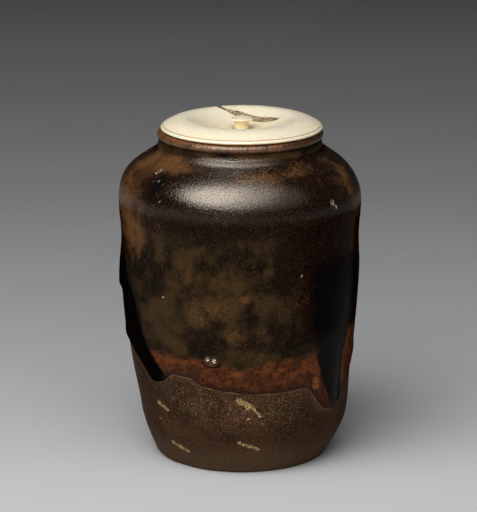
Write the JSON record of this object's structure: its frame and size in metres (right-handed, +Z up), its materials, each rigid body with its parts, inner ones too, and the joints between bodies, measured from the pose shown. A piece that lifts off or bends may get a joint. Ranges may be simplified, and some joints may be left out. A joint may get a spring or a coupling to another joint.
{
  "type": "tea jar",
  "caption": "Small round-shouldered stoneware jar with a dark running glaze over bare clay and a lift-off ivory lid with a knob, for powdered tea.",
  "frame": {"origin": "centre of the flat foot, on the surface that the jar stands on", "axes": "+Z up along the jar's turning axis, -Y towards the front as pictured, +X to the right of it"},
  "size_m": [0.0651, 0.0648, 0.0917],
  "materials": {
    "clay": "unglazed fired stoneware, dry, speckled",
    "glaze": "glossy iron glaze, dark brown to black with orange-brown at its thin edge",
    "ivory": "turned and polished ivory, satin",
    "knob_ivory": "turned and polished ivory, satin, warmer",
    "canal_crust": "rough mottled crust of the tusk's nerve canal",
    "gold_paper": "gold leaf laid on thin paper"
  },
  "bodies": {
    "jar": {"jar_body": "clay", "glaze_coat": "glaze"},
    "lid": {"lid_disc": "ivory", "lid_knob": "knob_ivory", "lid_canal_core": "canal_crust", "lid_gold_lining": "gold_paper"}
  },
  "joints": [
    {"name": "lid_lift", "type": "slide", "parent": "jar", "child": "lid", "axis": [0, 0, 1], "range_m": [0, 0.06]}
  ]
}
